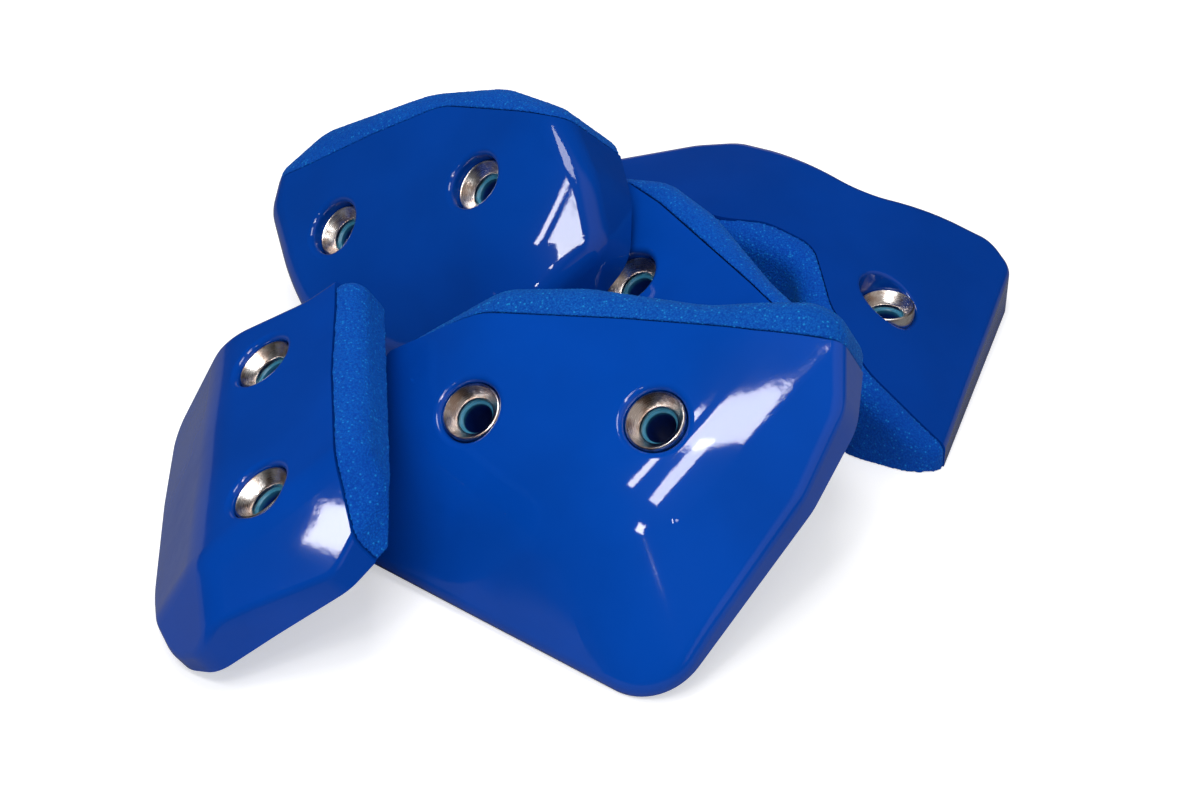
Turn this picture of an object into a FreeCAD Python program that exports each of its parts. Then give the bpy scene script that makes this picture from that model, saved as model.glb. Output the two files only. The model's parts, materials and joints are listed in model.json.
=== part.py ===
import FreeCAD, Part
import math
import os
from FreeCAD import Placement, Rotation, Vector

# Five cast climbing holds that lie in one pile on the floor.
# Each hold is a glossy face shell with a sandy grip band along one long edge,
# two countersunk washers and two bolt sleeves.
# A hold is made in its own frame and then laid in the pile. In that frame the
# flat back is at z = 0, the face looks along +z, the first bolt hole is on the
# z axis and the grip band is on the +y side, or on the -y side of the tall hold.
# The pile stands on z = 0 and is seen from the -y side.

# Every height, round and bolt spacing of a hold is a share of the hold's length

# Countersunk washers
washer_od = 22.0
washer_height = 6.0
washer_land = 0.7
cone_depth = 4.4
washer_bore = 13.4

# Bolt sleeves
sleeve_od = 15.0
bolt_hole = 11.2

# Fits between the pieces of one hold, and between the holds of the pile
seat_clearance = 0.3
seam_gap = 0.4
pile_gap = 0.5
lean_close = 0.01

# Soft lips round the washer recesses, tighter on the steep facet of the tall hold
lip_round = 2.5
tall_lip_round = 1.6

# Front hold
front_length = 184.0
front_top_share = 0.1848
front_rim_share = 0.1739
front_spacing_share = 0.3804
front_grip_round_share = 0.0598
front_edge_round_share = 0.0326
front_ridge_round_shares = (0.408,)
front_outline_shares = [
    (-0.650, -0.247, 0.05),
    (0.060, -0.505, 0.125),
    (0.272, -0.092, 0.17),
    (0.327, 0.076, 0.14),
    (0.314, 0.250, 0.062),
    (0.245, 0.277, 0.09),
    (0.054, 0.253, 0.33),
    (-0.207, 0.283, 0.27),
    (-0.380, 0.277, 0.12),
    (-0.478, 0.223, 0.12),
    (-0.650, 0.155, 0.055),
]
front_seam_shares = [
    (-0.80, 0.110, 0),
    (-0.54, 0.168, 0.10),
    (-0.41, 0.205, 0.15),
    (-0.10, 0.200, 0.40),
    (0.16, 0.188, 0.40),
    (0.45, 0.195, 0),
]
front_facet_bearings = [165.0, 252.0, -33.2]
front_facet_shares = [0.466, 0.217, 0.067]
front_facet_falls = [22.0, 34.0, 29.0]

# Back left hold
rear_length = 160.0
rear_top_share = 0.2469
rear_rim_share = 0.2156
rear_spacing_share = 0.4588
rear_grip_round_share = 0.075
rear_edge_round_share = 0.075
rear_ridge_round_shares = (0.375,)
rear_outline_shares = [
    (-0.583, -0.215, 0.07),
    (-0.250, -0.385, 0.25),
    (0.150, -0.330, 0.12),
    (0.300, -0.185, 0.11),
    (0.292, -0.020, 0.25),
    (0.232, 0.155, 0.10),
    (0.040, 0.270, 0.19),
    (-0.195, 0.328, 0.38),
    (-0.555, 0.328, 0.17),
    (-0.715, 0.248, 0.06),
    (-0.735, 0.115, 0.12),
]
rear_seam_shares = [
    (-0.82, 0.190, 0),
    (-0.60, 0.205, 0.10),
    (-0.36, 0.232, 0.20),
    (-0.130, 0.245, 0.20),
    (0.200, 0.125, 0.20),
    (0.50, 0.075, 0),
]
rear_facet_bearings = [-27.0, 262.0]
rear_facet_shares = [0.173, 0.163]
rear_facet_falls = [38.0, 24.0]

# Front left hold
left_length = 142.0
left_top_share = 0.2254
left_rim_share = 0.2113
left_spacing_share = 0.507
left_grip_round_share = 0.0634
left_edge_round_share = 0.0282
left_ridge_round_shares = (0.282, 0.0986)
left_undercut_share = 0.292
left_undercut_height_share = 0.0986
left_undercut_angle = 38.0
left_outline_shares = [
    (0.228, 0.105, 0.12),
    (0.110, 0.295, 0.09),
    (-0.680, 0.298, 0.055),
    (-0.660, 0.142, 0.21),
    (-0.715, -0.142, 0.12),
    (-0.712, -0.420, 0.09),
    (-0.426, -0.450, 0.42),
    (-0.057, -0.445, 0.42),
    (0.182, -0.385, 0.14),
    (0.262, -0.280, 0.10),
    (0.243, -0.106, 0.28),
]
left_seam_shares = [
    (-0.80, 0.240, 0),
    (-0.553, 0.234, 0.20),
    (-0.284, 0.220, 0.30),
    (0.050, 0.226, 0.25),
    (0.155, 0.190, 0.12),
    (0.330, 0.120, 0),
]
left_facet_bearings = [266.3, 15.0, -51.5]
left_facet_shares = [0.167, 0.105, 0.213]
left_facet_falls = [30.0, 49.0, 42.0]

# Middle hold
middle_length = 156.0
middle_top_share = 0.2051
middle_rim_share = 0.1795
middle_spacing_share = 0.4615
middle_grip_round_share = 0.0609
middle_edge_round_share = 0.0385
middle_ridge_round_shares = (0.385,)
middle_outline_shares = [
    (-0.372, -0.192, 0.09),
    (-0.256, -0.397, 0.13),
    (0.192, -0.449, 0.19),
    (0.577, -0.308, 0.10),
    (0.628, 0.128, 0.11),
    (0.590, 0.244, 0.08),
    (0.288, 0.237, 0.38),
    (0.0, 0.256, 0.38),
    (-0.192, 0.237, 0.16),
    (-0.359, 0.141, 0.09),
]
middle_seam_shares = [
    (-0.50, 0.090, 0),
    (-0.25, 0.160, 0.15),
    (-0.115, 0.179, 0.30),
    (0.30, 0.199, 0.60),
    (0.80, 0.210, 0),
]
middle_facet_bearings = [268.0, -20.0]
middle_facet_shares = [0.154, 0.52]
middle_facet_falls = [33.0, 25.0]

# Back right hold
tall_length = 208.0
tall_top_share = 0.3077
tall_rim_share = 0.179
tall_far_rim_share = 0.2404
tall_spacing_x_share = -0.56
tall_spacing_y_share = 0.323
tall_grip_round_share = 0.0385
tall_edge_round_share = 0.024
tall_ridge_round_shares = (0.577,)
tall_outline_shares = [
    (0.084, -0.288, 0.03),
    (0.283, 0.275, 0.045),
    (0.235, 0.327, 0.055),
    (-0.030, 0.287, 0.12),
    (-0.190, 0.410, 0.10),
    (-0.255, 0.455, 0.08),
    (-0.345, 0.455, 0.10),
    (-0.520, 0.410, 0.12),
    (-0.700, 0.400, 0.07),
    (-0.700, 0.170, 0.07),
    (-0.430, 0.202, 0.12),
    (-0.290, 0.085, 0.08),
    (-0.180, 0.025, 0.07),
    (-0.161, -0.115, 0.10),
    (-0.082, -0.240, 0.07),
    (0.024, -0.293, 0.10),
]
tall_seam_shares = [
    (-0.90, 0.205, 0),
    (-0.440, 0.252, 0.10),
    (-0.310, 0.125, 0.10),
    (-0.225, 0.118, 0.08),
    (-0.137, 0.065, 0.06),
    (-0.115, -0.087, 0.10),
    (-0.058, -0.202, 0.07),
    (0.048, -0.255, 0.10),
    (0.192, -0.317, 0),
]
tall_facet_bearings = [-25.9, 150.0]
tall_facet_shares = [-0.146, 0.133]
tall_facet_falls = [37.1, 4.5]

# Places of the first bolt holes on the floor plan, and turns about z, y and x
front_x = 30.0
front_y = -69.3
front_turn = Rotation(-21.8, -11.7, 33.6)
rear_x = -26.1
rear_y = 66.4
rear_turn = Rotation(-24.8, -29.5, 36.6)
left_x = -97.2
left_y = -99.4
left_turn = Rotation(-84.6, 2.8, 32.8)
middle_x = 25.8
middle_y = 32.4
middle_turn = Rotation(-63.3, 1.5, 34.0)
tall_x = 112.3
tall_y = 47.6
tall_turn = Rotation(0, 0, 0)

# Sizes that follow from the ones above
washer_r = washer_od / 2
pocket_r = washer_r + seat_clearance
sleeve_hole_r = sleeve_od / 2 + seat_clearance

# A face counts as a wall where its normal rises or falls less than this
level_share = 0.05
# Faces that meet at less than this angle, in radians, run into each other smoothly
bend_angle = 0.05
# A ridge is a long one from this share of the hold's length on
long_ridge_share = 0.7
# Cutting blocks are this many times as long as the hold
reach_share = 2
# A hold starts this share of its length back from the ones that it leans on
lean_start_share = 0.3
# How often it is moved closer
lean_steps = 40
up = Vector(0, 0, 1)


def rounded_wire(points):
    """Closed flat wire through the points, each corner with its own radius."""
    starts = []
    ends = []
    middles = []
    count = len(points)
    for i in range(count):
        x, y, radius = points[i]
        here = Vector(x, y, 0)
        before = Vector(points[i - 1][0], points[i - 1][1], 0)
        after = Vector(points[(i + 1) % count][0], points[(i + 1) % count][1], 0)
        back = (before - here).normalize()
        ahead = (after - here).normalize()
        half = back.getAngle(ahead) / 2
        reach = radius / math.tan(half)
        inward = (back + ahead).normalize()
        middles.append(here + inward * (radius / math.sin(half) - radius))
        starts.append(here + back * reach)
        ends.append(here + ahead * reach)
    edges = []
    for i in range(count):
        if points[i][2] > 0:
            edges.append(Part.Arc(starts[i], middles[i], ends[i]).toShape())
        edges.append(Part.makeLine(ends[i], starts[(i + 1) % count]))
    return Part.Wire(edges)


def scaled(shares, length):
    return [(x * length, y * length, z * length) for x, y, z in shares]


def prism(points, height):
    return Part.Face(rounded_wire(points)).extrude(up * height)


def cut_facet(body, bearing, distance, fall, top, reach):
    """Cut the body above a plane that falls away from a ridge at the top height."""
    heading = math.radians(bearing)
    outward = Vector(math.cos(heading), math.sin(heading), 0)
    block = Part.makeBox(reach, reach, reach, Vector(0, -reach / 2, 0))
    block.Placement = Placement(outward * distance + up * top, Rotation(bearing, fall, 0))
    return body.cut(block)


def cut_under(body, y, height, angle, reach):
    """Cut the foot of the +y wall along a plane that leans in towards the back."""
    block = Part.makeBox(reach, reach, reach, Vector(-reach / 2, 0, -reach))
    hinge = Rotation(Vector(1, 0, 0), -angle)
    block.Placement = Placement(Vector(0, y, height), hinge)
    return body.cut(block)


def face_kind(face):
    low, high, left, right = face.ParameterRange
    normal = face.normalAt((low + high) / 2, (left + right) / 2)
    if abs(normal.z) < level_share:
        return "wall"
    if normal.z < 0:
        return "back"
    return "top"


def meeting_edges(shape, first, second):
    """Edges where a face of the first kind meets one of the second kind."""
    found = []
    for edge in shape.Edges:
        faces = shape.ancestorsOfType(edge, Part.Face)
        if sorted(face_kind(face) for face in faces) == sorted([first, second]):
            found.append(edge)
    return found


def bends(shape, edge):
    """Whether the two faces of an edge meet at an angle there."""
    middle = edge.valueAt((edge.FirstParameter + edge.LastParameter) / 2)
    normals = []
    for face in shape.ancestorsOfType(edge, Part.Face):
        across, along = face.Surface.parameter(middle)
        normals.append(face.normalAt(across, along))
    return normals[0].getAngle(normals[1]) > bend_angle


def round_ridges(body, rounds, length):
    """Round the ridges between the facets, a long ridge first where it has its own round."""
    for count, ridge_round in enumerate(rounds, 1):
        ridges = [edge for edge in meeting_edges(body, "top", "top") if bends(body, edge)]
        if count < len(rounds):
            ridges = [edge for edge in ridges if edge.Length > long_ridge_share * length]
        body = body.makeFillet(ridge_round, ridges)
    return body


def lip_edges(shell, bolts, lip):
    """Upper edges of the washer recesses."""
    found = []
    for edge in meeting_edges(shell, "top", "wall"):
        middle = edge.CenterOfMass
        for x, y, rim in bolts:
            inside = Vector(middle.x - x, middle.y - y, 0).Length < pocket_r
            if inside and middle.z > rim - washer_height + lip:
                found.append(edge)
    return found


def recess(x, y, rim, reach):
    """Room for one washer and its sleeve."""
    seat = Part.makeCylinder(pocket_r, reach, Vector(x, y, rim - washer_height))
    return seat.fuse(Part.makeCylinder(sleeve_hole_r, reach, Vector(x, y, -reach / 2)))


def band_region(seam, length, grip_side, top):
    """Space of the grip band, from the seam out past the long edge."""
    reach = reach_share * length
    line = scaled(seam, length)
    first_x = line[0][0]
    last_x = line[-1][0]
    points = line + [(last_x, reach * grip_side, 0), (first_x, reach * grip_side, 0)]
    if grip_side < 0:
        points.reverse()
    return prism(points, top)


def washer(x, y, rim):
    """Turned washer whose rim lies at the given height."""
    floor = Vector(x, y, rim - washer_height)
    body = Part.makeCylinder(washer_r, washer_height, floor)
    bore = Part.makeCylinder(washer_bore / 2, washer_height, floor)
    foot = Vector(x, y, rim - cone_depth)
    cone = Part.makeCone(washer_bore / 2, washer_r - washer_land, cone_depth, foot)
    return body.cut(bore).cut(cone)


def sleeve(x, y, rim):
    """Bolt sleeve from the back of the hold up to the seat of the washer."""
    foot = Vector(x, y, 0)
    height = rim - washer_height
    body = Part.makeCylinder(sleeve_od / 2, height, foot)
    return body.cut(Part.makeCylinder(bolt_hole / 2, height, foot))


def make_hold(
    length, top_share, outline, seam, facets, bolt_shares, round_shares,
    lip=lip_round, grip_side=1, undercut=None,
):
    """Pieces of one hold in its own frame."""
    reach = reach_share * length
    top = top_share * length
    bolts = scaled(bolt_shares, length)
    body = prism(scaled(outline, length), top)
    for bearing, share, fall in zip(*facets):
        body = cut_facet(body, bearing, share * length, fall, top, reach)
    ridge_shares, edge_share, grip_share = round_shares
    edge_round = edge_share * length
    grip_round = grip_share * length
    body = round_ridges(body, [share * length for share in ridge_shares], length)
    rims = meeting_edges(body, "top", "wall")
    region = band_region(seam, length, grip_side, top)
    grip = body.makeFillet(grip_round, rims).common(region)
    region.translate(Vector(0, -seam_gap * grip_side, 0))
    shell = body.makeFillet(edge_round, rims).cut(region)
    for x, y, rim in bolts:
        shell = shell.cut(recess(x, y, rim, reach))
    shell = shell.makeFillet(lip, lip_edges(shell, bolts, lip))
    if undercut:
        share, height_share, angle = undercut
        shell = cut_under(shell, share * length, height_share * length, angle, reach)
        grip = cut_under(grip, share * length, height_share * length, angle, reach)
    pieces = {"face_shell": shell, "grip_band": grip}
    for word, bolt in zip(["near", "far"], bolts):
        pieces["washer_" + word] = washer(*bolt)
        pieces["sleeve_" + word] = sleeve(*bolt)
    return pieces


def move(pieces, shift):
    for piece in pieces.values():
        piece.translate(shift)


def lay_down(pieces, x, y, turn):
    """Turn the hold, bring it to its place and let its lowest point meet the floor."""
    for piece in pieces.values():
        piece.Placement = Placement(Vector(x, y, 0), turn).multiply(piece.Placement)
    lowest = min(piece.optimalBoundingBox(False).ZMin for piece in pieces.values())
    move(pieces, up * -lowest)


def bodies(pieces):
    return [pieces["face_shell"], pieces["grip_band"]]


def lean(pieces, neighbours, heading, length):
    """Slide the hold along the floor until it lies just clear of its neighbours.

    The hold first draws back. Each step is as long as the room that is left, so
    that it never meets them on the way.
    """
    others = Part.Compound([body for neighbour in neighbours for body in bodies(neighbour)])
    move(pieces, heading * -lean_start_share * length)
    for step in range(lean_steps):
        gap = Part.Compound(bodies(pieces)).distToShape(others)[0]
        room = gap - pile_gap
        move(pieces, heading * room)
        if room < lean_close:
            break
    print("leaning room", round(room, 3), "after", step + 1, "steps")


holds = {}
holds["tall"] = make_hold(
    tall_length, tall_top_share, tall_outline_shares, tall_seam_shares,
    (tall_facet_bearings, tall_facet_shares, tall_facet_falls),
    [(0, 0, tall_rim_share), (tall_spacing_x_share, tall_spacing_y_share, tall_far_rim_share)],
    (tall_ridge_round_shares, tall_edge_round_share, tall_grip_round_share),
    lip=tall_lip_round, grip_side=-1,
)
holds["middle"] = make_hold(
    middle_length, middle_top_share, middle_outline_shares, middle_seam_shares,
    (middle_facet_bearings, middle_facet_shares, middle_facet_falls),
    [(0, 0, middle_rim_share), (middle_spacing_share, 0, middle_rim_share)],
    (middle_ridge_round_shares, middle_edge_round_share, middle_grip_round_share),
)
holds["rear"] = make_hold(
    rear_length, rear_top_share, rear_outline_shares, rear_seam_shares,
    (rear_facet_bearings, rear_facet_shares, rear_facet_falls),
    [(0, 0, rear_rim_share), (-rear_spacing_share, 0, rear_rim_share)],
    (rear_ridge_round_shares, rear_edge_round_share, rear_grip_round_share),
)
holds["front"] = make_hold(
    front_length, front_top_share, front_outline_shares, front_seam_shares,
    (front_facet_bearings, front_facet_shares, front_facet_falls),
    [(0, 0, front_rim_share), (-front_spacing_share, 0, front_rim_share)],
    (front_ridge_round_shares, front_edge_round_share, front_grip_round_share),
)
holds["left"] = make_hold(
    left_length, left_top_share, left_outline_shares, left_seam_shares,
    (left_facet_bearings, left_facet_shares, left_facet_falls),
    [(0, 0, left_rim_share), (-left_spacing_share, 0, left_rim_share)],
    (left_ridge_round_shares, left_edge_round_share, left_grip_round_share),
    undercut=(left_undercut_share, left_undercut_height_share, left_undercut_angle),
)

# The pile, from the hold that lies flat to the ones that lean on it
lay_down(holds["tall"], tall_x, tall_y, tall_turn)
lay_down(holds["middle"], middle_x, middle_y, middle_turn)
lay_down(holds["rear"], rear_x, rear_y, rear_turn)
lay_down(holds["front"], front_x, front_y, front_turn)
lay_down(holds["left"], left_x, left_y, left_turn)

backwards = Vector(0, 1, 0)
sideways = Vector(1, 0, 0)
lean(holds["middle"], [holds["tall"]], backwards, middle_length)
lean(holds["rear"], [holds["middle"], holds["tall"]], sideways, rear_length)
lean(holds["front"], [holds["middle"], holds["rear"]], backwards, front_length)
lean(holds["left"], [holds["front"], holds["rear"]], sideways, left_length)

# The origin is on the floor under the middle of the whole pile's box
boxes = [piece.optimalBoundingBox(False) for pieces in holds.values() for piece in pieces.values()]
middle_of_x = (min(box.XMin for box in boxes) + max(box.XMax for box in boxes)) / 2
middle_of_y = (min(box.YMin for box in boxes) + max(box.YMax for box in boxes)) / 2
for pieces in holds.values():
    move(pieces, Vector(-middle_of_x, -middle_of_y, 0))
print("pile moved by", round(-middle_of_x, 3), round(-middle_of_y, 3))

os.makedirs("parts", exist_ok=True)
for hold_name, pieces in holds.items():
    for piece_name, piece in pieces.items():
        print(hold_name, piece_name, piece.isValid(), len(piece.Solids), round(piece.Volume))
        piece.exportStep("parts/" + hold_name + "_" + piece_name + ".step")
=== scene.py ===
import json
import math

import bpy
from mathutils import Matrix, Vector

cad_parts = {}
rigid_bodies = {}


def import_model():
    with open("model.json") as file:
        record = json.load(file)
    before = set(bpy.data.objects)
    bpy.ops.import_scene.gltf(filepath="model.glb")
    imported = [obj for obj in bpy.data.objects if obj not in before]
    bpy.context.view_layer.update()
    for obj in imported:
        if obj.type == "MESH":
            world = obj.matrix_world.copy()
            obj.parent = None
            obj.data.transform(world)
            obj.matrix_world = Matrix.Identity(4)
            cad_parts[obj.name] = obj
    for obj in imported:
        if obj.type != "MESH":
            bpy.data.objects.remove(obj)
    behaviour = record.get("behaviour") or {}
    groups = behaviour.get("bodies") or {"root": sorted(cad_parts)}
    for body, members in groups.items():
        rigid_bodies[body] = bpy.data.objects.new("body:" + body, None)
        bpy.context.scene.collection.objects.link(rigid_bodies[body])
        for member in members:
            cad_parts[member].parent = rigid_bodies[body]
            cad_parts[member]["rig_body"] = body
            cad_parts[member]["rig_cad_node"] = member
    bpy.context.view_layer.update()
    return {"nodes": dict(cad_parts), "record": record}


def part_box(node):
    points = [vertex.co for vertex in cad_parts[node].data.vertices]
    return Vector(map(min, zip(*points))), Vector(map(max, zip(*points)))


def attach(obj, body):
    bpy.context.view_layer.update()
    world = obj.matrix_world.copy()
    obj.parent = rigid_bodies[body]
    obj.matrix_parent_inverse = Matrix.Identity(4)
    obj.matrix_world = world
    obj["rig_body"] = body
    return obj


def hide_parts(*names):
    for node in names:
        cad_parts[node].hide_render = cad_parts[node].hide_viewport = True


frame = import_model()
bpy.ops.object.select_all(action="DESELECT")
scene = bpy.context.scene

# Camera: level in its own width and looking 35 degrees down on the pile from the front,
# through a long lens that takes in the whole pile with white round it.
sensor_width = 36.0
long_lens = 71.67
nearest_seen = 0.05
camera_place = (-0.00463, -0.7401, 0.543)
looking_down = 35.0

camera_data = bpy.data.cameras.new("camera")
camera_data.sensor_width = sensor_width
camera_data.lens = long_lens
camera_data.clip_start = nearest_seen
camera = bpy.data.objects.new("camera", camera_data)
scene.collection.objects.link(camera)
camera.location = camera_place
camera.rotation_euler = (math.radians(90.0 - looking_down), 0.0, 0.0)
scene.camera = camera

# Studio: a softbox straight above, and three strips and a low spot in front that draw the
# long highlights. The room is dark to gloss, with a warm grey wall on the right and a pale
# one far behind. The floor is a white sheet with soft shadows, and nearly dark to gloss.
scene.view_settings.view_transform = "Standard"
pile_heart = Vector((0.0, 0.0, 0.04))
lamp_distance = 1.5
# Name, direction from the pile, width and length, power, direction in which it is long
lamps = [
    ("softbox_top", (-0.02, -0.12, 0.99), (0.50, 0.50), 6.0, (0.0, 0.0, 1.0)),
    ("strip_front", (-0.093, -0.568, 0.820), (0.14, 0.58), 4.4, (0.84, -0.49, -0.23)),
    ("strip_tail", (-0.198, -0.608, 0.777), (0.14, 0.24), 1.7, (-0.64, -0.58, -0.50)),
    ("strip_left", (-0.37, -0.42, 0.83), (0.09, 0.30), 1.5, (0.64, 0.58, 0.50)),
    ("spot_low", (-0.350, -0.767, 0.541), (0.10, 0.11), 0.75, (0.39, 0.47, 0.78)),
]
for name, direction, size, power, along in lamps:
    light = bpy.data.lights.new(name, "AREA")
    light.shape = "RECTANGLE"
    light.size, light.size_y = size
    light.energy = power
    lamp = bpy.data.objects.new(name, light)
    scene.collection.objects.link(lamp)
    towards = Vector(direction).normalized()
    lamp.location = pile_heart + towards * lamp_distance
    upward = Vector(along)
    upward = (upward - towards * upward.dot(towards)).normalized()
    sideways = upward.cross(towards)
    lamp.rotation_euler = Matrix((sideways, upward, towards)).transposed().to_euler()

# A Mix node's sockets for two colours and for their blend, counted from its first one
first_colour, second_colour, mixed_colour = 6, 7, 2


def link_math(tree, operation, first, second):
    """One math step on two sockets or numbers."""
    step = tree.nodes.new("ShaderNodeMath")
    step.operation = operation
    for socket, value in zip(step.inputs, (first, second)):
        if isinstance(value, (int, float)):
            socket.default_value = value
        else:
            tree.links.new(value, socket)
    return step.outputs[0]


def range_node(tree, value, low, high, to_low=0.0, to_high=1.0, smooth=False):
    """The value brought from the range low to high into the range to_low to to_high."""
    ramp = tree.nodes.new("ShaderNodeMapRange")
    ramp.inputs["From Min"].default_value = low
    ramp.inputs["From Max"].default_value = high
    ramp.inputs["To Min"].default_value = to_low
    ramp.inputs["To Max"].default_value = to_high
    if smooth:
        ramp.interpolation_type = "SMOOTHSTEP"
    tree.links.new(value, ramp.inputs["Value"])
    return ramp.outputs["Result"]


def mix_colours(tree, factor, first, second):
    """Blend of two colours, each a tuple or a socket."""
    mix = tree.nodes.new("ShaderNodeMix")
    mix.data_type = "RGBA"
    tree.links.new(factor, mix.inputs["Factor"])
    for index, colour in ((first_colour, first), (second_colour, second)):
        if isinstance(colour, tuple):
            mix.inputs[index].default_value = (*colour, 1.0)
        else:
            tree.links.new(colour, mix.inputs[index])
    return mix.outputs[mixed_colour]


room_grey = (0.006, 0.006, 0.007)
wall_grey = (0.36, 0.31, 0.28)
back_grey = (0.50, 0.45, 0.44)
fill_grey = (0.50, 0.50, 0.50)
white = (1.0, 1.0, 1.0)
# Where the walls fade in, as the part of a direction that points right or to the back
wall_by_right = (0.15, 0.45)
wall_by_back = (0.20, -0.10)
far_by_back = (0.93, 0.99)

world = bpy.data.worlds.new("studio")
scene.world = world
world.use_nodes = True
tree = world.node_tree
tree.nodes.clear()
looks_along = tree.nodes.new("ShaderNodeTexCoord")
split = tree.nodes.new("ShaderNodeSeparateXYZ")
tree.links.new(looks_along.outputs["Generated"], split.inputs[0])
to_right = range_node(tree, split.outputs["X"], *wall_by_right, smooth=True)
to_front = range_node(tree, split.outputs["Y"], *wall_by_back, smooth=True)
to_wall = link_math(tree, "MULTIPLY", to_right, to_front)
walled_room = mix_colours(tree, to_wall, room_grey, wall_grey)
to_back = range_node(tree, split.outputs["Y"], *far_by_back, smooth=True)
room = mix_colours(tree, to_back, walled_room, back_grey)
path = tree.nodes.new("ShaderNodeLightPath")
lit_room = mix_colours(tree, path.outputs["Is Diffuse Ray"], room, fill_grey)
camera_or_clear = link_math(
    tree, "MAXIMUM", path.outputs["Is Camera Ray"], path.outputs["Is Transmission Ray"]
)
seen_room = mix_colours(tree, camera_or_clear, lit_room, white)
background = tree.nodes.new("ShaderNodeBackground")
output = tree.nodes.new("ShaderNodeOutputWorld")
tree.links.new(seen_room, background.inputs["Color"])
tree.links.new(background.outputs[0], output.inputs["Surface"])

floor_radius = 6.0
floor_corners = 96
sheet_grey = (0.80, 0.80, 0.80)
dark_grey = (0.02, 0.02, 0.02)
# Glow of the sheet to the camera under the pile, and to the gloss
sheet_glow = 0.50
gloss_glow = 0.03
# Metres from the middle over which the sheet turns full white to the camera
white_by_reach = (0.22, 0.50)
# How dark the sheet is to the gloss under the pile, the metres from the middle over which
# it turns fully dark, and the depths in front of the pile over which it does so too
dark_at_middle = 0.78
dark_by_reach = (0.38, 0.62)
dark_by_back = (-0.10, -0.20)

bpy.ops.mesh.primitive_circle_add(
    vertices=floor_corners, radius=floor_radius, fill_type="NGON"
)
floor = bpy.context.object
floor.name = "floor"
floor_paint = bpy.data.materials.new("white_sheet")
floor_paint.use_nodes = True
tree = floor_paint.node_tree
tree.nodes.clear()
place = tree.nodes.new("ShaderNodeTexCoord")
from_middle = tree.nodes.new("ShaderNodeVectorMath")
from_middle.operation = "LENGTH"
tree.links.new(place.outputs["Object"], from_middle.inputs[0])
away = from_middle.outputs["Value"]
path = tree.nodes.new("ShaderNodeLightPath")
to_camera = path.outputs["Is Camera Ray"]
to_gloss = path.outputs["Is Glossy Ray"]
sheet = tree.nodes.new("ShaderNodeBsdfDiffuse")
sheet.inputs["Color"].default_value = (*sheet_grey, 1.0)
glow = tree.nodes.new("ShaderNodeEmission")
camera_glow = range_node(tree, away, *white_by_reach, to_low=sheet_glow, smooth=True)
glow_strength = link_math(
    tree, "ADD", link_math(tree, "MULTIPLY", to_camera, camera_glow),
    link_math(tree, "MULTIPLY", to_gloss, gloss_glow),
)
tree.links.new(glow_strength, glow.inputs["Strength"])
lit_sheet = tree.nodes.new("ShaderNodeAddShader")
tree.links.new(sheet.outputs[0], lit_sheet.inputs[0])
tree.links.new(glow.outputs[0], lit_sheet.inputs[1])
dark = tree.nodes.new("ShaderNodeBsdfDiffuse")
dark.inputs["Color"].default_value = (*dark_grey, 1.0)
at_floor = tree.nodes.new("ShaderNodeSeparateXYZ")
tree.links.new(place.outputs["Object"], at_floor.inputs[0])
past_rim = range_node(tree, away, *dark_by_reach, to_low=dark_at_middle, smooth=True)
past_front = range_node(tree, at_floor.outputs["Y"], *dark_by_back, smooth=True)
past_edge = link_math(tree, "MAXIMUM", past_rim, past_front)
either = tree.nodes.new("ShaderNodeMixShader")
tree.links.new(link_math(tree, "MULTIPLY", to_gloss, past_edge), either.inputs[0])
tree.links.new(lit_sheet.outputs[0], either.inputs[1])
tree.links.new(dark.outputs[0], either.inputs[2])
output = tree.nodes.new("ShaderNodeOutputMaterial")
tree.links.new(either.outputs[0], output.inputs["Surface"])
floor.data.materials.append(floor_paint)

# Face shells: each hold is cast in polyurethane against a polished mould, so that its
# face is glossy. The flat back is the open side of the mould, sanded level and dull.
hold_names = ["tall", "middle", "rear", "front", "left"]
mounts = {mount["name"]: mount for mount in frame["record"]["mounts"]}
hold_normals = {}
for hold in hold_names:
    hold_normals[hold] = Vector(mounts[hold + "_bolt_holes"]["axis"]).normalized()
# Each hold's blue is set lighter or darker for how it is lit, so the spread between the
# holds is painted light and shade
shaded_face_blues = {
    "tall": (0.0003, 0.045, 0.320),
    "middle": (0.0003, 0.059, 0.400),
    "rear": (0.0003, 0.047, 0.320),
    "front": (0.0003, 0.056, 0.380),
    "left": (0.0003, 0.050, 0.350),
}
cloud_darker, cloud_lighter = 0.93, 1.06
sanded_blues = ((0.010, 0.085, 0.36), (0.06, 0.17, 0.46))
# How squarely a surface faces backwards, from none of it sanded to all of it
sanded_by_facing = (0.95, 0.99)
resin_roughness = (0.30, 0.42)
sanded_roughness = 0.75
resin_ior = 1.5
resin_specular = 0.02
gloss_roughness = 0.045
# A Mix node's sockets for two vectors and for their blend, counted from its first one
first_vector, second_vector, mixed_vector = 4, 5, 1


def noise_node(tree, coordinates, scale, detail, roughness=0.5):
    """Cloudy value from 0 to 1 at the coordinates."""
    noise = tree.nodes.new("ShaderNodeTexNoise")
    noise.inputs["Scale"].default_value = scale
    noise.inputs["Detail"].default_value = detail
    noise.inputs["Roughness"].default_value = roughness
    tree.links.new(coordinates, noise.inputs["Vector"])
    return noise.outputs["Fac"]


def bump_node(tree, height, strength, depth, normal=None):
    """Normal tilted by a height that stands depth metres at its full value."""
    bump = tree.nodes.new("ShaderNodeBump")
    bump.inputs["Strength"].default_value = strength
    bump.inputs["Distance"].default_value = depth
    tree.links.new(height, bump.inputs["Height"])
    if normal is not None:
        tree.links.new(normal, bump.inputs["Normal"])
    return bump.outputs["Normal"]


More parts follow.
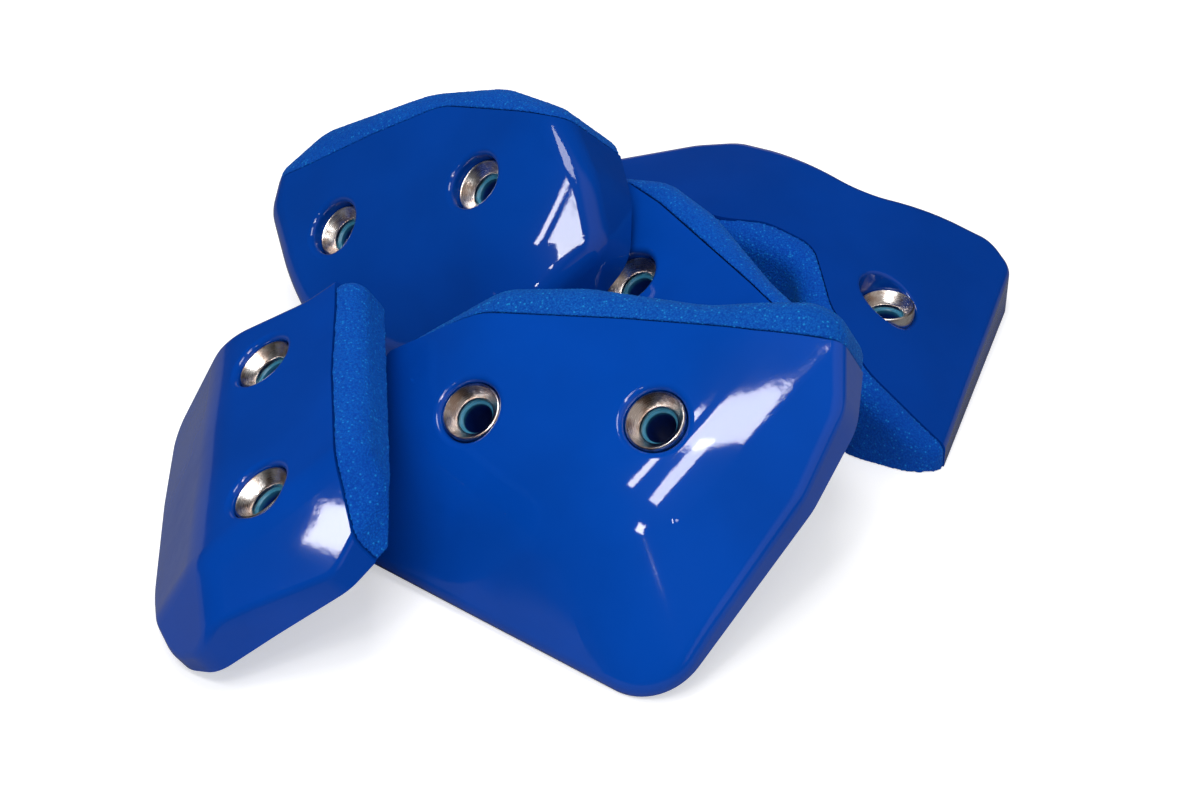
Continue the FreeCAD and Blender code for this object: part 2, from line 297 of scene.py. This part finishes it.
def new_finish(name):
    """Empty material with its shader and output."""
    finish = bpy.data.materials.new(name)
    finish.use_nodes = True
    tree = finish.node_tree
    tree.nodes.clear()
    shader = tree.nodes.new("ShaderNodeBsdfPrincipled")
    output = tree.nodes.new("ShaderNodeOutputMaterial")
    tree.links.new(shader.outputs[0], output.inputs["Surface"])
    return finish, tree, shader


def glossy_face(name, blue, face_normal):
    """Polished cast face with a sanded back on the side turned away from face_normal."""
    finish, tree, shader = new_finish(name)
    place = tree.nodes.new("ShaderNodeTexCoord")
    at = place.outputs["Object"]
    facing = tree.nodes.new("ShaderNodeVectorMath")
    facing.operation = "DOT_PRODUCT"
    facing.inputs[1].default_value = tuple(-face_normal)
    tree.links.new(place.outputs["Normal"], facing.inputs[0])
    back = range_node(tree, facing.outputs["Value"], *sanded_by_facing)

    cloud = noise_node(tree, at, scale=22.0, detail=3.0)
    dark = tuple(part * cloud_darker for part in blue)
    light = tuple(part * cloud_lighter for part in blue)
    face_colour = mix_colours(tree, range_node(tree, cloud, 0.35, 0.65), dark, light)
    dust = noise_node(tree, at, scale=900.0, detail=6.0, roughness=0.7)
    sanded = mix_colours(tree, dust, *sanded_blues)
    tree.links.new(mix_colours(tree, back, face_colour, sanded), shader.inputs["Base Color"])

    smudge = noise_node(tree, at, scale=60.0, detail=5.0, roughness=0.65)
    smudged = range_node(tree, smudge, 0.35, 0.75, *resin_roughness)
    rough = tree.nodes.new("ShaderNodeMix")
    tree.links.new(back, rough.inputs["Factor"])
    tree.links.new(smudged, rough.inputs["A"])
    rough.inputs["B"].default_value = sanded_roughness
    tree.links.new(rough.outputs["Result"], shader.inputs["Roughness"])
    shader.inputs["IOR"].default_value = resin_ior
    shader.inputs["Specular IOR Level"].default_value = resin_specular
    shader.inputs["Coat Roughness"].default_value = gloss_roughness
    shader.inputs["Coat IOR"].default_value = resin_ior
    coat = range_node(tree, back, 0.0, 1.0, to_low=1.0, to_high=0.0)
    tree.links.new(coat, shader.inputs["Coat Weight"])

    wave = noise_node(tree, at, scale=13.0, detail=0.5)
    waves = bump_node(tree, wave, strength=0.5, depth=0.0060)
    worn = noise_node(tree, at, scale=34.0, detail=2.0)
    scratch = noise_node(tree, at, scale=300.0, detail=4.0, roughness=0.7)
    scuffs = link_math(tree, "MULTIPLY", scratch, range_node(tree, worn, 0.50, 0.68))
    scuffed = bump_node(tree, scuffs, strength=0.20, depth=0.00020, normal=waves)
    peel = noise_node(tree, at, scale=520.0, detail=2.0)
    skin = bump_node(tree, peel, strength=0.10, depth=0.00006, normal=scuffed)
    tree.links.new(skin, shader.inputs["Coat Normal"])
    grit = bump_node(tree, dust, strength=0.35, depth=0.00012, normal=skin)
    normal = tree.nodes.new("ShaderNodeMix")
    normal.data_type = "VECTOR"
    tree.links.new(back, normal.inputs["Factor"])
    tree.links.new(skin, normal.inputs[first_vector])
    tree.links.new(grit, normal.inputs[second_vector])
    tree.links.new(normal.outputs[mixed_vector], shader.inputs["Normal"])
    return finish


for hold in hold_names:
    shell = frame["nodes"][hold + "_face_shell"]
    face = glossy_face(hold + "_gloss", shaded_face_blues[hold], hold_normals[hold])
    shell.data.materials.clear()
    shell.data.materials.append(face)

# Grip bands: the same resin cast against a sand-grained part of the mould. The grain is
# under a millimetre and goes inwards only. Painted shade darkens its pits and painted light
# brightens its crests, and pale specks on a few grains are painted glints.
# For each hold: the pit blue carries painted shade, the crest blue painted light; the spread
# between holds is painted light and shade too
shaded_and_lit_grip_blues = {
    "tall": ((0.0003, 0.052, 0.38), (0.002, 0.125, 0.58)),
    "middle": ((0.0003, 0.058, 0.40), (0.003, 0.140, 0.62)),
    "rear": ((0.0003, 0.054, 0.37), (0.003, 0.130, 0.58)),
    "front": ((0.0005, 0.056, 0.36), (0.007, 0.165, 0.62)),
    "left": ((0.0003, 0.054, 0.38), (0.003, 0.140, 0.62)),
}
pit_darker = 0.85
# What turns a crest's blue into a painted glint's: red added, green and blue multiplied
glint_red, glint_green, glint_blue = 0.010, 2.0, 1.2
grip_roughness = 0.70
grip_ior = 1.45
grip_specular = 0.08
grip_sheen = 0.12
grip_sheen_roughness = 0.5
grip_sheen_blue = (0.05, 0.45, 1.0)
grain_size = 0.0008
grain_depth = 0.00045
grain_step = 0.00065
loose_corner_gap = 0.00001

grain_relief = bpy.data.textures.new("grain_relief", "CLOUDS")
grain_relief.noise_scale = grain_size
grain_relief.noise_depth = 1


def sandy_grip(name, shaded_pit, lit_crest):
    """Grainy blue: painted shade in the pits, painted light on the crests and painted glints
    on a few grains.
    """
    finish, tree, shader = new_finish(name)
    place = tree.nodes.new("ShaderNodeTexCoord")
    at = place.outputs["Object"]
    grain = tree.nodes.new("ShaderNodeTexVoronoi")
    grain.inputs["Scale"].default_value = 1.0 / grain_size
    grain.inputs["Randomness"].default_value = 1.0
    tree.links.new(at, grain.inputs["Vector"])
    lot = tree.nodes.new("ShaderNodeSeparateColor")
    tree.links.new(grain.outputs["Color"], lot.inputs[0])
    fine = noise_node(tree, at, scale=2600.0, detail=3.0, roughness=0.7)
    patch = noise_node(tree, at, scale=30.0, detail=3.0)
    height = range_node(tree, grain.outputs["Distance"], 0.1, 0.8, to_low=1.0, to_high=0.0)
    fine_tone = range_node(tree, fine, 0.35, 0.70, to_low=0.2, to_high=1.2)
    # Painted shade in the pits and painted light on the crests, following the grain's height
    shade = mix_colours(tree, link_math(tree, "MULTIPLY", height, fine_tone), shaded_pit, lit_crest)
    deep = tuple(part * pit_darker for part in shaded_pit)
    patchy = range_node(tree, patch, 0.40, 0.75, to_high=0.5)
    cloudy = mix_colours(tree, patchy, shade, deep)
    # A few grains get a painted glint: pale specks standing in for light caught on the grain
    glint_grain = range_node(tree, lot.outputs[0], 0.90, 0.96, to_high=0.75)
    glint_mask = link_math(tree, "MULTIPLY", glint_grain, height)
    painted_glint = (lit_crest[0] + glint_red, lit_crest[1] * glint_green, lit_crest[2] * glint_blue)
    tree.links.new(mix_colours(tree, glint_mask, cloudy, painted_glint), shader.inputs["Base Color"])
    shader.inputs["Roughness"].default_value = grip_roughness
    shader.inputs["IOR"].default_value = grip_ior
    shader.inputs["Specular IOR Level"].default_value = grip_specular
    shader.inputs["Sheen Weight"].default_value = grip_sheen
    shader.inputs["Sheen Roughness"].default_value = grip_sheen_roughness
    shader.inputs["Sheen Tint"].default_value = (*grip_sheen_blue, 1.0)
    coarse = bump_node(tree, height, strength=0.8, depth=0.00030)
    grained = bump_node(tree, fine, strength=0.6, depth=0.00015, normal=coarse)
    tree.links.new(grained, shader.inputs["Normal"])
    return finish


for hold in hold_names:
    cast = frame["nodes"][hold + "_grip_band"]
    band = cast.copy()
    band.data = cast.data.copy()
    band.parent = None
    band.name = hold + "_sandy_band"
    # The copy drops the marks that make the first one a node of the solids
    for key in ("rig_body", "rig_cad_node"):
        if key in band:
            del band[key]
    scene.collection.objects.link(band)
    bpy.ops.object.select_all(action="DESELECT")
    band.select_set(True)
    bpy.context.view_layer.objects.active = band
    bpy.ops.object.mode_set(mode="EDIT")
    bpy.ops.mesh.select_all(action="SELECT")
    bpy.ops.mesh.remove_doubles(threshold=loose_corner_gap)
    bpy.ops.object.mode_set(mode="OBJECT")
    even = band.modifiers.new("even_skin", "REMESH")
    even.mode = "VOXEL"
    even.voxel_size = grain_step
    even.use_smooth_shade = True
    bpy.ops.object.modifier_apply(modifier=even.name)
    relief = band.modifiers.new("grain", "DISPLACE")
    relief.texture = grain_relief
    relief.texture_coords = "LOCAL"
    relief.mid_level = 1.0
    relief.strength = grain_depth
    bpy.ops.object.modifier_apply(modifier=relief.name)
    band.data.materials.clear()
    band.data.materials.append(sandy_grip(hold + "_sand", *shaded_and_lit_grip_blues[hold]))
    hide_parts(hold + "_grip_band")
    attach(band, hold + "_hold")

# Washers: turned from steel bar, with a dished cone for the bolt head and a bore. Each
# is cast into the face, its rim flush with the floor of a round recess.
washer_height = 0.006
# Radius and height of the section's corners, round once from the foot of the bore
washer_profile = [
    (0.00670, 0.0000), (0.01080, 0.0000), (0.01100, 0.0002), (0.01100, 0.0053),
    (0.01082, 0.0057), (0.01055, 0.0059), (0.01030, 0.0060), (0.01012, 0.00588),
    (0.00990, 0.00560), (0.00900, 0.00455), (0.00800, 0.00337), (0.00730, 0.00252),
    (0.00695, 0.00205), (0.00678, 0.00175), (0.00670, 0.00140), (0.00670, 0.0000),
]
clean_steel = (0.95, 0.91, 0.88)
brownish_steel = (0.58, 0.45, 0.38)
# The lathe grooves are painted darker: painted shade in the cuts
groove_shade_steel = (0.40, 0.32, 0.27)
groove_shade_share = 0.35
steel_roughness = (0.22, 0.34)
steel_grain = 0.7
# Noise steps once round the ring, and for each whole step of the turning map outwards
groove_steps = (1.5, 16.0, 1.0)
hole_ends = ("near", "far")
turned_faces = 96
closing_gap = 0.000001
crease = math.radians(28)
# The turning map's outward steps for a metre of radius and for a metre of height
steps_per_radius = 100
steps_per_height = 20


def turned(name, profile, low_point, axis):
    """Ring turned from a profile of radius and height, standing on low_point."""
    radius, height = profile[0]
    bpy.ops.object.select_all(action="DESELECT")
    bpy.ops.mesh.primitive_circle_add(
        vertices=turned_faces, radius=radius, location=(0, 0, height), calc_uvs=False
    )
    bpy.ops.object.transform_apply(location=True, rotation=False, scale=False)
    ring = bpy.context.object
    ring.name = name
    bpy.ops.object.mode_set(mode="EDIT")
    bpy.ops.mesh.select_all(action="SELECT")
    for next_radius, next_height in profile[1:]:
        rise = (0, 0, next_height - height)
        bpy.ops.mesh.extrude_region_move(TRANSFORM_OT_translate={"value": rise})
        growth = next_radius / radius
        middle = (0, 0, next_height)
        bpy.ops.transform.resize(value=(growth, growth, 1), center_override=middle)
        radius, height = next_radius, next_height
    bpy.ops.mesh.select_all(action="SELECT")
    bpy.ops.mesh.remove_doubles(threshold=closing_gap)
    bpy.ops.mesh.normals_make_consistent(inside=False)
    bpy.ops.object.mode_set(mode="OBJECT")
    bpy.ops.object.shade_smooth_by_angle(angle=crease)
    top = max(rise for reach, rise in profile)
    around = ring.data.uv_layers.new(name="turning")
    for face in ring.data.polygons:
        corners = [
            ring.data.vertices[ring.data.loops[corner].vertex_index].co
            for corner in face.loop_indices
        ]
        angles = [math.atan2(point.y, point.x) / math.tau + 0.5 for point in corners]
        # The face that closes the round runs on past 1, and not back to 0
        wraps = max(angles) - min(angles) > 0.5
        for corner, point, angle in zip(face.loop_indices, corners, angles):
            if wraps and angle < 0.5:
                angle += 1.0
            from_axis = math.hypot(point.x, point.y) * steps_per_radius
            outward = from_axis + (point.z - top) * steps_per_height
            around.data[corner].uv = (angle, outward)
    turn = axis.to_track_quat("Z", "Y").to_matrix().to_4x4()
    ring.matrix_world = Matrix.Translation(low_point) @ turn
    bpy.ops.object.transform_apply(location=True, rotation=True, scale=True)
    return ring


def turned_steel(name):
    """Steel with the fine rings of the lathe tool, painted shade in their grooves, and
    brownish patches.
    """
    finish, tree, shader = new_finish(name)
    place = tree.nodes.new("ShaderNodeTexCoord")
    rings = tree.nodes.new("ShaderNodeMapping")
    rings.inputs["Scale"].default_value = groove_steps
    tree.links.new(place.outputs["UV"], rings.inputs["Vector"])
    cut = noise_node(tree, rings.outputs[0], scale=4.0, detail=4.0, roughness=0.6)
    at = place.outputs["Object"]
    # Brownish in random patches
    patch_noise = noise_node(tree, at, scale=170.0, detail=4.0, roughness=0.6)
    brownish_patch = range_node(tree, patch_noise, 0.46, 0.60)
    skin = mix_colours(tree, brownish_patch, clean_steel, brownish_steel)
    groove_shade = range_node(tree, cut, 0.42, 0.60, to_high=groove_shade_share)
    colour = mix_colours(tree, groove_shade, skin, groove_shade_steel)
    tree.links.new(colour, shader.inputs["Base Color"])
    shader.inputs["Metallic"].default_value = 1.0
    rough = range_node(tree, cut, 0.30, 0.70, *steel_roughness)
    tree.links.new(rough, shader.inputs["Roughness"])
    shader.inputs["Anisotropic"].default_value = steel_grain
    along = tree.nodes.new("ShaderNodeTangent")
    along.direction_type = "UV_MAP"
    along.uv_map = "turning"
    tree.links.new(along.outputs[0], shader.inputs["Tangent"])
    grooved = bump_node(tree, cut, strength=0.35, depth=0.00006)
    tree.links.new(grooved, shader.inputs["Normal"])
    return finish


steel = turned_steel("turned_steel")
for hold in hold_names:
    axis = hold_normals[hold]
    for end in hole_ends:
        node = hold + "_washer_" + end
        low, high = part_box(node)
        foot = (low + high) / 2 - axis * (washer_height / 2)
        washer = turned(hold + "_turned_washer_" + end, washer_profile, foot, axis)
        washer.data.materials.append(steel)
        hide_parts(node)
        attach(washer, hold + "_hold")

# Sleeves: moulded teal plastic tubes that line the bolt holes. The top edge shows as a thin
# bright ring inside the washer, and the bore is painted dark, as painted shade in the hole.
sleeve_radius = 0.0075
sleeve_bore = 0.0056
sleeve_round = 0.0004
bore_shade_blues = ((0.0005, 0.010, 0.110), (0.0005, 0.022, 0.170))
edge_teals = ((0.014, 0.135, 0.240), (0.045, 0.245, 0.385))
# Steps of the turning map over which the painted shade of the bore turns into the bright top
# edge
edge_by_outward = (0.51, 0.56)
sleeve_roughness = (0.28, 0.42)
sleeve_ior = 1.49


def moulded_teal(name):
    """Teal plastic, bright on the top edge and painted dark down the bore as painted shade.
    """
    finish, tree, shader = new_finish(name)
    place = tree.nodes.new("ShaderNodeTexCoord")
    mottle = noise_node(tree, place.outputs["Object"], scale=700.0, detail=3.0)
    shaded_bore = mix_colours(tree, mottle, *bore_shade_blues)
    edge = mix_colours(tree, mottle, *edge_teals)
    turning = tree.nodes.new("ShaderNodeSeparateXYZ")
    tree.links.new(place.outputs["UV"], turning.inputs[0])
    outward = range_node(tree, turning.outputs["Y"], *edge_by_outward)
    tree.links.new(mix_colours(tree, outward, shaded_bore, edge), shader.inputs["Base Color"])
    rough = range_node(tree, mottle, 0.3, 0.7, *sleeve_roughness)
    tree.links.new(rough, shader.inputs["Roughness"])
    shader.inputs["IOR"].default_value = sleeve_ior
    mottled = bump_node(tree, mottle, strength=0.3, depth=0.00005)
    tree.links.new(mottled, shader.inputs["Normal"])
    return finish


teal = moulded_teal("moulded_teal")
for hold in hold_names:
    axis = hold_normals[hold]
    for end in hole_ends:
        node = hold + "_sleeve_" + end
        low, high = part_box(node)
        # A slanting tube's box is longer than the tube by its own round ends
        reach = max(range(3), key=lambda side: abs(axis[side]))
        across = 2 * sleeve_radius * math.sqrt(1 - axis[reach] ** 2)
        tube_length = (high[reach] - low[reach] - across) / abs(axis[reach])
        foot = (low + high) / 2 - axis * (tube_length / 2)
        inner, outer = sleeve_bore + sleeve_round, sleeve_radius - sleeve_round
        shoulder = tube_length - sleeve_round
        tube_profile = [
            (inner, 0.0), (outer, 0.0), (sleeve_radius, sleeve_round),
            (sleeve_radius, shoulder), (outer, tube_length),
            (inner, tube_length), (sleeve_bore, shoulder),
            (sleeve_bore, sleeve_round), (inner, 0.0),
        ]
        sleeve = turned(hold + "_moulded_sleeve_" + end, tube_profile, foot, axis)
        sleeve.data.materials.append(teal)
        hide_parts(node)
        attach(sleeve, hold + "_hold")
